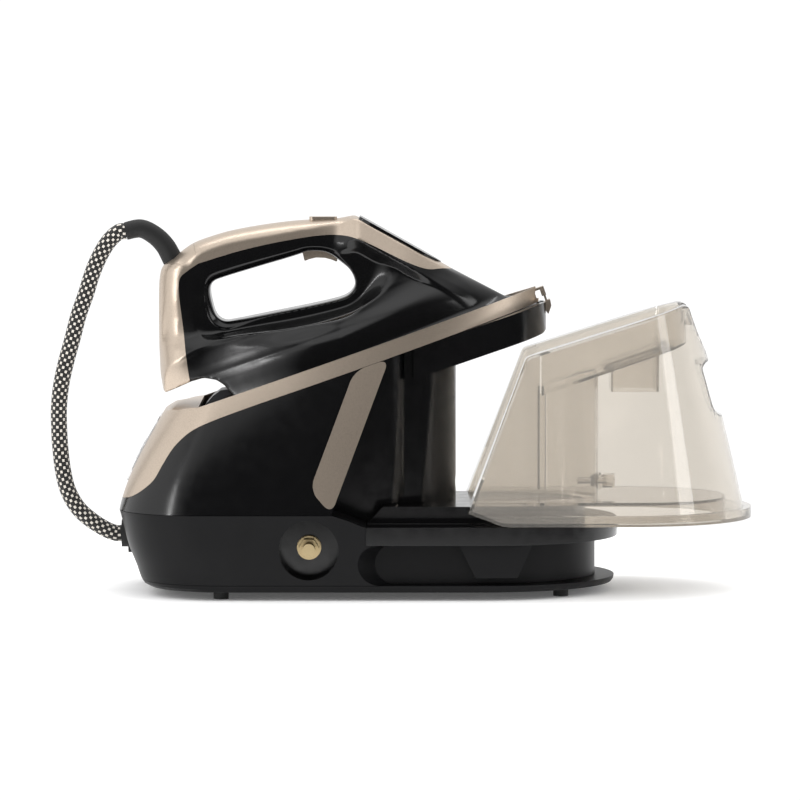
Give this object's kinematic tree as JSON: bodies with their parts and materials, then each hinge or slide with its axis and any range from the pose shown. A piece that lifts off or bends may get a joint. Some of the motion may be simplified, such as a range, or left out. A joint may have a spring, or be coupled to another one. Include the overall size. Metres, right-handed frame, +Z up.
{
  "type": "steam generator iron",
  "caption": "Steam generator iron: boiler base with sloping iron rest, straddling pull-out water tank, braided steam hose and an iron with trigger and steam button.",
  "frame": {"origin": "on the table under the middle of the base and drawn-out tank, seen from above", "axes": "+X towards the iron's nose and the way the tank pulls out, +Z up, the drain on the -Y side"},
  "size_m": [0.56, 0.2082, 0.2988],
  "materials": {
    "gloss_black": "high-gloss injection-moulded ABS",
    "satin_black": "fine-textured satin moulded plastic",
    "champagne": "satin metallic lacquer over moulded plastic",
    "smoke_clear": "clear smoke-tinted plastic",
    "panel_clear": "clear-coated panel plate",
    "rubber": "matt black rubber",
    "brass": "turned brass",
    "steel": "brushed steel",
    "chrome": "bright plated",
    "cast_alloy": "as-cast alloy",
    "board": "solder mask",
    "hook_grey": "dark moulded plastic",
    "clear_tube": "silicone tube",
    "braid": "woven textile sleeve over a steam hose"
  },
  "bodies": {
    "base": {"base_plate": "satin_black", "lower_body": "satin_black", "tank_platform": "gloss_black", "hose_clip": "satin_black", "upper_housing": "gloss_black", "side_stripes": "champagne", "column": "gloss_black", "nose_housing": "gloss_black", "tray_rim": "champagne", "tray_floor": "satin_black", "rest_pads": "rubber", "heel_hook": "hook_grey", "panel_lens": "panel_clear", "feet": "rubber", "drain_ring": "brass", "boiler": "steel", "steam_valve": "brass", "pump": "satin_black", "control_board": "board", "steam_pipe": "clear_tube", "water_pipe": "clear_tube", "tank_socket": "brass", "drain_pipe": "brass", "hose_gland": "rubber", "mains_inlet": "rubber", "base_screws": "steel", "steam_hose": "braid"},
    "iron": {"soleplate": "steel", "steam_chamber": "cast_alloy", "iron_shell": "gloss_black", "heel_cover": "champagne", "handle_cover": "champagne", "top_panel": "gloss_black", "strain_relief": "rubber", "trigger_switch": "satin_black"},
    "steam_trigger": {"steam_trigger": "champagne"},
    "steam_button": {"steam_button": "champagne"},
    "iron_latch": {"iron_latch": "chrome"},
    "drain_plug": {"drain_plug": "brass"},
    "tank": {"tank_shell": "smoke_clear", "filler_well": "smoke_clear", "tank_spout": "clear_tube", "tank_seal": "rubber", "tank_filter": "clear_tube"},
    "filler_flap": {"filler_flap": "smoke_clear"},
    "power_button": {"power_button": "panel_clear"},
    "mode_button": {"mode_button": "panel_clear"}
  },
  "joints": [
    {"name": "iron_lift", "type": "slide", "parent": "base", "child": "iron", "axis": [-0.3256, 0, 0.9455], "range_m": [0, 0.08], "deforming": ["steam_hose"]},
    {"name": "tank_slide", "type": "slide", "parent": "base", "child": "tank", "axis": [1, 0, 0], "range_m": [-0.106, 0.125]},
    {"name": "steam_trigger_swing", "type": "hinge", "parent": "iron", "child": "steam_trigger", "pos_m": [-0.1153, 0, 0.272], "axis": [0, -1, 0], "range_deg": [0, 7], "stiffness_Nm_per_rad": 0.4, "springref_deg": -5.73},
    {"name": "steam_button_press", "type": "slide", "parent": "iron", "child": "steam_button", "axis": [0, 0, -1], "range_m": [0, 0.0015], "stiffness_N_per_m": 800, "springref_m": -0.001},
    {"name": "iron_latch_slide", "type": "slide", "parent": "base", "child": "iron_latch", "axis": [-0.9455, 0, -0.3256], "range_m": [0, 0.004]},
    {"name": "drain_plug_turn", "type": "hinge", "parent": "base", "child": "drain_plug", "pos_m": [-0.1008, -0.08, 0.04], "axis": [0, -1, 0], "range_deg": [0, 720]},
    {"name": "filler_flap_hinge", "type": "hinge", "parent": "tank", "child": "filler_flap", "pos_m": [0.1811, 0, 0.19775], "axis": [0, 1, 0], "range_deg": [0, 100]},
    {"name": "power_button_press", "type": "slide", "parent": "base", "child": "power_button", "axis": [0.8862, 0, -0.4633], "range_m": [0, 0.001], "stiffness_N_per_m": 1500, "springref_m": -0.0004},
    {"name": "mode_button_press", "type": "slide", "parent": "base", "child": "mode_button", "axis": [0.8862, 0, -0.4633], "range_m": [0, 0.001], "stiffness_N_per_m": 1500, "springref_m": -0.0004}
  ]
}
